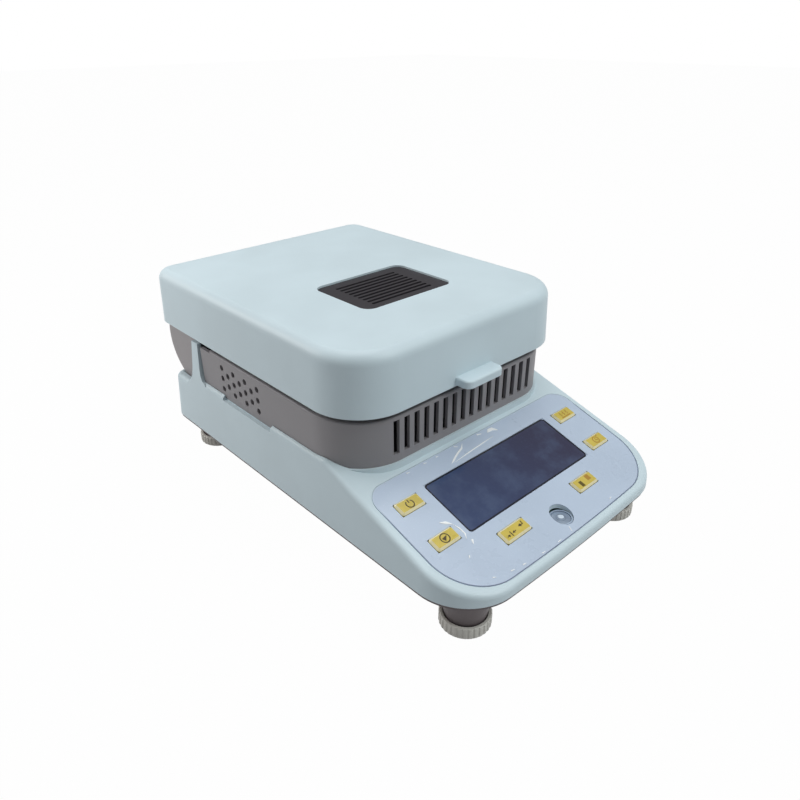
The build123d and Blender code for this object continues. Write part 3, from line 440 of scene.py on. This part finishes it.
class Relief:                                   # thin raised strokes in one plane, drawn in millimetres
    def __init__(self, middle, right=across, up=upSlope, out=outward, height=0.07):
        self.middle = middle
        self.right = right
        self.up = up
        self.out = out
        self.height = height
        self.grid = bmesh.new()

    def at(self, u, v, lift):
        return self.middle + (self.right * u + self.up * v + self.out * lift) * mm

    def stroke(self, points, widths, closed=False):
        if not isinstance(widths, (list, tuple)):
            widths = [widths] * len(points)
        rings = []
        last = len(points) - 1
        for index, (u, v) in enumerate(points):
            ahead = points[(index + 1) % len(points)] if closed or index < last else points[index]
            behind = points[index - 1] if closed or index else points[index]
            way = Vector((ahead[0] - behind[0], ahead[1] - behind[1])).normalized()
            side = Vector((-way.y, way.x)) * widths[index] / 2
            rings.append([self.at(u + side.x * s, v + side.y * s, lift)
                          for s, lift in ((-1, -0.02), (1, -0.02), (0.8, self.height), (-0.8, self.height))])
        verts = [self.grid.verts.new(spot) for spot in rings[0]]
        edges = [self.grid.edges.new((verts[k], verts[(k + 1) % 4])) for k in range(4)]
        if not closed:
            bmesh.ops.contextual_create(self.grid, geom=edges)
        for ring in rings[1:] + (rings[:1] if closed else []):
            verts, edges = self.extend(verts, edges, ring)
        if not closed:
            bmesh.ops.contextual_create(self.grid, geom=edges)

    def extend(self, verts, edges, ring):       # draws the stroke's end on to its next four corners
        made = bmesh.ops.extrude_edge_only(self.grid, edges=edges)["geom"]
        fresh = [item for item in made if isinstance(item, bmesh.types.BMVert)]
        moved = [min(fresh, key=lambda new: (new.co - old.co).length_squared) for old in verts]
        for vertex, spot in zip(moved, ring):
            vertex.co = spot
        sides = [item for item in made if isinstance(item, bmesh.types.BMEdge)]
        ends = [edge for edge in sides if set(edge.verts) <= set(fresh)]
        return moved, ends

    def arc(self, u, v, radius, width, start=0, sweep=360, steps=28):
        closed = sweep == 360
        count = steps if closed else steps + 1
        angles = [math.radians(start + sweep * i / steps) for i in range(count)]
        points = [(u + radius * math.cos(a), v + radius * math.sin(a)) for a in angles]
        self.stroke(points, width, closed)

    def arrow(self, start, end, width):
        # a shaft with a tapered head over its last part
        u, v = end[0] - start[0], end[1] - start[1]
        neck = (start[0] + u * 0.45, start[1] + v * 0.45)
        self.stroke([start, neck], width)
        self.stroke([neck, end], [width * 3.4, 0.08])


# Signs on the keys: pictures of what each does, with no words
signs = {"line": 0.8, "power": 2.6, "print": 3.0, "clock": 2.6}
keyInk = moulded("key print", tint(74, 60, 30), 0.4)
keyAmber = moulded("key amber print", tint(176, 132, 52), 0.4)
keyOlive = moulded("key olive print", tint(96, 82, 30), 0.4)


def signPower(mark):
    mark.arc(-0.3, -0.3, signs["power"], signs["line"], 125, 290)
    mark.stroke([(-0.3, 0.5), (-0.3, 2.9)], signs["line"])


def signPrint(mark):
    # a sheet's corner inside a ring
    mark.arc(-0.3, 0, signs["print"], signs["line"])
    mark.stroke([(-1.7, -0.8), (1.5, 0.9)], [2.9, 0.5])


def signTare(mark):
    # weight brought to a line from both sides, and the hooked arrow of an entry
    mark.arrow((-8.4, -1.4), (-5.6, -1.1), 0.6)
    mark.stroke([(-4.4, -2.7), (-4.4, 0.9)], 0.8)
    mark.arrow((-0.2, -0.5), (-3.4, -0.9), 0.6)
    mark.stroke([(7.2, 2.6), (7.2, 0.5), (5.4, 0.5)], 0.9)
    mark.stroke([(5.4, 0.5), (3.2, 0.5)], [2.5, 0.1])


def signMode(mark):
    mark.stroke([(-3.95, -2.9), (-3.95, 1.5)], 3.0)


def signModeAmber(mark):
    mark.stroke([(4.3, -1.2), (4.3, 2.9)], 3.9)


def signHeat(mark):
    # rising warmth over a bar
    for u in (-3.6, -0.4, 2.8):
        mark.stroke([(u, -1.2), (u + 0.8, -0.3), (u, 0.7), (u + 0.8, 1.7), (u + 0.5, 2.6)], 0.9)
    mark.stroke([(-4.8, -2.4), (4.4, -2.4)], 0.9)


def signTime(mark):
    mark.arc(-0.2, 0, signs["clock"], signs["line"])
    mark.stroke([(-0.2, 1.6), (-0.2, 0), (1.3, -0.7)], 0.7)
    mark.stroke([(2.5, 2.1), (4.1, 3.2)], 0.8)


keySigns = [
    ("key_power", signPower, keyInk),
    ("key_print", signPrint, keyInk),
    ("key_tare", signTare, keyInk),
    ("key_mode", signMode, keyOlive),
    ("key_mode", signModeAmber, keyAmber),
    ("key_heat", signHeat, keyAmber),
    ("key_time", signTime, keyAmber),
]
for index, (key, draw, ink) in enumerate(keySigns):
    mark = Relief(flatTop(key))
    draw(mark)
    addPiece(f"sign_{key}_{index}", mark.grid, ink, key)
print("key signs drawn")

# Creases of the clear film over the label, raised a little and coloured near white as painted glints: x and
# y on the panel in millimetres, then their widths
panelSpot = flatTop("keypad_label")
creases = [
    ([(-30.5, -83.0), (-27.0, -81.6), (-23.7, -80.0), (-19.5, -78.4), (-14.8, -77.0), (-11.4, -74.2)], 0.9),
    ([(-28.2, -83.3), (-14.4, -82.1), (1.1, -81.0), (13.1, -80.3)], 0.5),
    ([(11.8, -76.0), (14.5, -75.0), (17.5, -75.2), (20.3, -78.0)], 1.9),
    ([(3.5, -73.8), (7.1, -74.7)], 0.8),
    ([(-18.6, -73.4), (-16.2, -74.8)], 0.5),
    ([(-61.5, -74.0), (-58.8, -74.4)], 0.5),
    ([(-46.5, -73.8), (-44.2, -74.2)], 0.5),
    ([(-35.6, -73.9), (-33.6, -74.1)], 0.5),
    ([(-70.2, -111.0), (-67.0, -112.9), (-64.2, -116.0)], 1.5),
    ([(-64.2, -116.0), (-62.8, -120.0), (-62.7, -124.4), (-64.8, -127.6)], 0.6),
    ([(-62.0, -129.3), (-63.7, -131.8)], 1.0),
    ([(-71.6, -135.9), (-73.0, -137.2)], 0.6),
    ([(-3.4, -155.4), (-4.6, -158.6)], 0.5),
    ([(-71.0, -152.6), (-69.2, -153.6)], 0.5),
    ([(-58.8, -155.6), (-56.4, -156.2)], 0.6),
    ([(-49.6, -156.8), (-47.4, -157.2)], 0.6),
    ([(-33.5, -158.2), (-31.0, -158.4)], 0.5),
    ([(-18.6, -158.6), (-15.8, -158.6)], 0.5),
    ([(39.2, -156.8), (41.4, -156.4)], 0.5),
]


def onPanel(x, y):                              # strokes' own coordinates for a plan point on the label
    rise = (y * mm - panelSpot.y) / upSlope.y
    return (x - panelSpot.x / mm, rise / mm)


# the near-white colour of the creases is a painted highlight, bright whatever light falls
creaseGlint = Finish("film crease glint", tint(252, 254, 255), 0.2, Coat_Weight=0.8, Coat_Roughness=0.06)
creaseGlint.feed("Roughness", creaseGlint.noise(3 * mm, 2) * 0.1 + 0.14)
creaseForm = {"widen": 1.5, "height": 0.3, "tip": 0.12, "shortTip": 0.4}
for index, (points, breadth) in enumerate(creases):
    width = breadth * creaseForm["widen"]
    crease = Relief(panelSpot, height=creaseForm["height"])
    tip = width * creaseForm["tip"]
    ends = [tip] + [width] * (len(points) - 2) + [tip]
    if len(points) == 2:
        ends = [width, width * creaseForm["shortTip"]]
    crease.stroke([onPanel(x, y) for x, y in points], ends)
    addPiece(f"glint_crease_{index}", crease.grid, creaseGlint.material, "housing")
print("film creases laid")

# Printed line round the label, on the outline of its flat top, pale towards the rear as a painted highlight
edgeInk = Finish("edge print", tint(112, 120, 146), 0.4)
# towards the rear the line turns pale as a painted highlight on the label
rear = edgeInk.axis("Y").between(-96 * mm, -84 * mm)
edgeInk.feed("Base Color", edgeInk.blend(rear, tint(108, 116, 142), tint(196, 208, 224)))
edgeInk.feed("Roughness", edgeInk.noise(3 * mm, 2) * 0.1 + 0.35)
flat = [vertex.co - panelSpot for vertex in nodes["keypad_label"].data.vertices]
flat = [(spot.x / mm, spot.dot(upSlope) / mm) for spot in flat if spot.dot(outward) > -0.05 * mm]
edgeForm = {"shrink": 0.997, "height": 0.03, "width": 0.55}
edge = [Vector(flat[index]) * edgeForm["shrink"] for index in geometry.convex_hull_2d(flat)]
edgeLine = Relief(panelSpot, height=edgeForm["height"])
edgeLine.stroke([tuple(spot) for spot in edge], edgeForm["width"], closed=True)
addPiece("label_edge_line", edgeLine.grid, edgeInk.material, "housing")
print("label edge printed")


# Fittings at the back: pins and blades in the sockets, screws in the ears, marks on the rocker
back = {
    "serialX": -14.0, "inletX": 62.0, "z": 45.5, "panelY": 150.6, "flange": 2.2,
    "insert": (14.6, 6.2, 1.6), "pitch": 2.77, "row": 1.42, "pinR": 0.5, "pinTip": 155.2,
    "blades": ((-7, -2), (0, 2), (7, -2)), "blade": (2.2, 4.2, 10.0), "bladeTip": 146.2,
    "screws": (-20, 20), "screwR": 3.1, "screwHeight": 1.5,
}


def rodAlongY(grid, x, z, y0, y1, radius, tip=0.5, segments=16):
    # a rod with a narrowed end at y1
    turn = Matrix.Rotation(math.radians(-90), 4, "X")
    neck = y1 - radius
    for start, end, high in ((y0, neck, radius), (neck, y1, radius * tip)):
        place = Matrix.Translation(Vector((x, (start + end) / 2, z)) * mm) @ turn
        bmesh.ops.create_cone(grid, cap_ends=end == y1, segments=segments, radius1=radius * mm,
                              radius2=high * mm, depth=(end - start) * mm, matrix=place)


def blockAt(grid, middle, size, bevel):
    # a block of a size in millimetres, all its edges rounded
    place = Matrix.Translation(Vector(middle) * mm) @ Matrix.Diagonal((*(Vector(size) * mm), 1))
    made = bmesh.ops.create_cube(grid, size=1, matrix=place)["verts"]
    edges = list({edge for vertex in made for edge in vertex.link_edges})
    bmesh.ops.bevel(grid, geom=edges, offset=bevel * mm, segments=3, affect="EDGES", profile=0.5,
                    material=-1)


def screwHead(grid, x, z, y, radius, height):
    # a low domed head with a six-lobed recess, looking to the back
    turn = Matrix.Rotation(math.radians(-90), 4, "X")
    place = Matrix.Translation(Vector((x, y + height / 2, z)) * mm) @ turn
    made = bmesh.ops.create_cone(grid, cap_ends=True, segments=24, radius1=radius * mm,
                                 radius2=radius * 0.8 * mm, depth=height * mm, matrix=place)["verts"]
    faces = {face for vertex in made for face in vertex.link_faces}
    top = max(faces, key=lambda face: face.calc_center_median().y)
    bmesh.ops.inset_region(grid, faces=[top], thickness=radius * 0.3 * mm)
    middle = top.calc_center_median()
    for index, vertex in enumerate(top.verts):
        if index % 4 < 2:
            vertex.co = middle.lerp(vertex.co, 0.72)
    bmesh.ops.inset_region(grid, faces=[top], thickness=0.02 * mm, depth=-height * 0.6 * mm)


insert = bmesh.new()
blockAt(insert, (back["serialX"], back["panelY"] + back["insert"][2] / 2, back["z"]),
        (back["insert"][0], back["insert"][2], back["insert"][1]), 0.5)
addPiece("serial_insert", insert, black, "housing")
pins = bmesh.new()
for row, count in ((1, 5), (-1, 4)):
    for index in range(count):
        x = back["serialX"] + (index - (count - 1) / 2) * back["pitch"]
        z = back["z"] + row * back["row"]
        rodAlongY(pins, x, z, back["panelY"] + 1, back["pinTip"], back["pinR"])
addPiece("serial_pins", pins, brass, "housing")
blades = bmesh.new()
width, height, depth = back["blade"]
for dx, dz in back["blades"]:
    spot = (back["inletX"] + dx, back["bladeTip"] - depth / 2, back["z"] + dz)
    blockAt(blades, spot, (width, depth, height), 0.4)
addPiece("inlet_blades", blades, zinc, "housing")
heads = bmesh.new()
for dx in back["screws"]:
    top = back["panelY"] + back["flange"] - 0.1
    screwHead(heads, back["inletX"] + dx, back["z"], top, back["screwR"], back["screwHeight"])
addPiece("inlet_screws", heads, steel, "housing")
print("rear fittings made")

# ON and OFF marks on the rocker's two faces, which meet in a low ridge
rocker = {"spot": (24.0, 150.2, 45.5), "tilt": 9.0, "fall": 5.78, "reach": 4.2, "rise": 2.18}
rockerInk = moulded("rocker print", tint(232, 232, 228), 0.5)
for name, side in (("on", 1), ("off", -1)):
    swing = Matrix.Rotation(math.radians(rocker["tilt"]), 3, "Z")
    face = swing @ Matrix.Rotation(math.radians(-side * rocker["fall"]), 3, "Z")
    middle = Vector(rocker["spot"]) + swing @ Vector((side * rocker["reach"], rocker["rise"], 0))
    right, out = face @ Vector((-1, 0, 0)), face @ Vector((0, 1, 0))
    mark = Relief(middle * mm, right=right, up=Vector((0, 0, 1)), out=out)
    if name == "on":
        mark.stroke([(0, -1.6), (0, 1.6)], 0.6)
    else:
        mark.arc(0, 0, 1.5, 0.5)
    addPiece(f"rocker_{name}_mark", mark.grid, rockerInk, "rocker")

# Bubble under the level's glass, inside the ring it is brought into
level = {"bubbleR": 1.9, "flat": 0.22, "ringR": 3.0, "aside": (0.7, 0.5)}
low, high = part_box("level_glass")
levelTop = Vector(((low.x + high.x) / 2, (low.y + high.y) / 2, high.z))
bubble = bmesh.new()
place = Matrix.Translation(levelTop + Vector((*level["aside"], 0)) * mm)
place = place @ Matrix.Diagonal((1, 1, level["flat"], 1))
radius = level["bubbleR"] * mm
bmesh.ops.create_uvsphere(bubble, u_segments=32, v_segments=12, radius=radius, matrix=place)
bubbleShine = moulded("bubble", tint(214, 226, 238), 0.12)
addPiece("level_bubble", bubble, bubbleShine, "housing")
mark = Relief(levelTop, up=Vector((0, 1, 0)), out=Vector((0, 0, 1)), height=0.06)
mark.arc(0, 0, level["ringR"], 0.3, steps=40)
ringInk = moulded("ring print", tint(92, 104, 122), 0.4)
addPiece("level_ring", mark.grid, ringInk, "housing")

# Heating coil wound inside the quartz ring, and its tails to the sockets
coil = {
    "radius": 36.0, "gap": 16.5, "z": 118.0, "tail": 8.0,
    "turns": 110, "steps": 10, "coilR": 1.3, "wireR": 0.28,
}


def wirePiece(name, points, radius, material, body):
    bend = bpy.data.curves.new(name, "CURVE")
    bend.dimensions = "3D"
    bend.bevel_depth = radius * mm
    bend.bevel_resolution = 1
    bend.use_fill_caps = True
    line = bend.splines.new("POLY")
    line.points.add(len(points) - 1)
    for point, spot in zip(line.points, points):
        point.co = (*(Vector(spot) * mm), 1)
    holder = bpy.data.objects.new(name + "_line", bend)
    bpy.context.scene.collection.objects.link(holder)
    bpy.context.view_layer.update()
    grid = bmesh.new()
    grid.from_mesh(holder.to_mesh())
    holder.to_mesh_clear()
    bpy.data.objects.remove(holder)
    addPiece(name, grid, material, body)


centreX, centreY = (value / mm for value in chamberSpot[:2])
points = []
sweep = 360 - 2 * coil["gap"]
windings = coil["turns"] * coil["steps"]
for index in range(windings + 1):
    share = index / windings
    way = math.radians(90 + coil["gap"] + sweep * share)
    twist = 2 * math.pi * share * coil["turns"]
    reach = coil["radius"] + coil["coilR"] * math.cos(twist)
    points.append((centreX + reach * math.cos(way), centreY + reach * math.sin(way),
                   coil["z"] + coil["coilR"] * math.sin(twist)))
first, last = points[0], points[-1]
tails = [(first[0], first[1] + coil["tail"], coil["z"])], [(last[0], last[1] + coil["tail"], coil["z"])]
wirePiece("lamp_coil", tails[0] + points + tails[1], coil["wireR"], steel, "lid")
print("level and lamp coil made")


# Studio: a pale floor that the camera sees as white, soft lamps above, in front and behind on the left
studio = {"floorSize": 6.0, "floorLevel": 0.0, "floorGlow": 0.985, "sky": 0.27}
white, cool, warm = (1.0, 1.0, 1.0), (0.94, 1.0, 1.0), (1.0, 0.99, 0.97)
lamps = [
    {"name": "lamp above", "spot": (0.2, 0.15, 1.6), "size": 1.3, "power": 9.8, "colour": white},
    {"name": "lamp front", "spot": (0.6, -1.1, 1.35), "size": 1.0, "power": 13.0, "colour": cool},
    {"name": "lamp rear left", "spot": (-0.45, 0.5, 0.4), "size": 0.3, "power": 1.9, "colour": warm},
]


def addFloor():
    grid = bmesh.new()
    bmesh.ops.create_grid(grid, x_segments=1, y_segments=1, size=studio["floorSize"])
    mesh = bpy.data.meshes.new("floor")
    grid.to_mesh(mesh)
    grid.free()
    floor = bpy.data.objects.new("floor", mesh)
    floor.location.z = studio["floorLevel"]
    bpy.context.scene.collection.objects.link(floor)
    made = Finish("pale floor", tint(176, 178, 180), 0.9)
    glow = made.node("ShaderNodeEmission", {}, {"Color": (1, 1, 1, 1), "Strength": 1.0})
    seen = made.node("ShaderNodeLightPath", out="Is Camera Ray")
    gloss = made.node("ShaderNodeLightPath", out="Is Glossy Ray")
    through = made.node("ShaderNodeLightPath", out="Is Transmission Ray")
    share = (seen + gloss + through).maths("MINIMUM", 1.0) * studio["floorGlow"]
    paintOut = Wire(made, made.shader.outputs[0])
    mixed = made.node("ShaderNodeMixShader", {}, {0: share, 1: paintOut, 2: glow})
    made.tree.links.new(mixed.socket, made.tree.nodes["Material Output"].inputs[0])
    mesh.materials.append(made.material)


def addLamp(name, spot, size, power, colour):
    lamp = bpy.data.lights.new(name, "AREA")
    lamp.shape = "DISK"
    lamp.size = size
    lamp.energy = power
    lamp.color = colour
    holder = bpy.data.objects.new(name, lamp)
    holder.location = spot
    holder.rotation_mode = "QUATERNION"
    holder.rotation_quaternion = (Vector((0, 0, 0.08)) - Vector(spot)).to_track_quat("-Z", "Y")
    bpy.context.scene.collection.objects.link(holder)


def addSky():
    sky = bpy.data.worlds.new("pale room")
    sky.use_nodes = True
    bpy.context.scene.world = sky
    tree = sky.node_tree
    ground = tree.nodes["Background"]
    ground.inputs["Color"].default_value = (1, 1, 1, 1)
    path = tree.nodes.new("ShaderNodeLightPath")
    seen = tree.nodes.new("ShaderNodeMath")
    seen.operation = "MAXIMUM"
    tree.links.new(path.outputs["Is Camera Ray"], seen.inputs[0])
    tree.links.new(path.outputs["Is Transmission Ray"], seen.inputs[1])
    level = tree.nodes.new("ShaderNodeMapRange")
    level.inputs["To Min"].default_value = studio["sky"]
    level.inputs["To Max"].default_value = 1.0
    tree.links.new(seen.outputs[0], level.inputs["Value"])
    tree.links.new(level.outputs[0], ground.inputs["Strength"])


addFloor()
addSky()
for lamp in lamps:
    addLamp(**lamp)

# Camera at the photograph's place: metres, degrees, millimetres of lens
view = {
    "spot": (-0.29837, -0.3235, 0.30364), "heading": 42.91, "down": 28.79, "roll": -0.2, "lens": 30.742,
}
eye = bpy.data.cameras.new("camera")
eye.lens = view["lens"]
eye.sensor_width = 36.0
eye.clip_start = 0.01
camera = bpy.data.objects.new("camera", eye)
turn = Matrix.Rotation(math.radians(-view["heading"]), 3, "Z")
turn = turn @ Matrix.Rotation(math.radians(90 - view["down"]), 3, "X")
turn = turn @ Matrix.Rotation(math.radians(view["roll"]), 3, "Z")
camera.matrix_world = Matrix.Translation(view["spot"]) @ turn.to_4x4()
bpy.context.scene.collection.objects.link(camera)
bpy.context.scene.camera = camera
bpy.context.scene.view_settings.view_transform = "Standard"
print("studio ready")

bpy.context.view_layer.update()
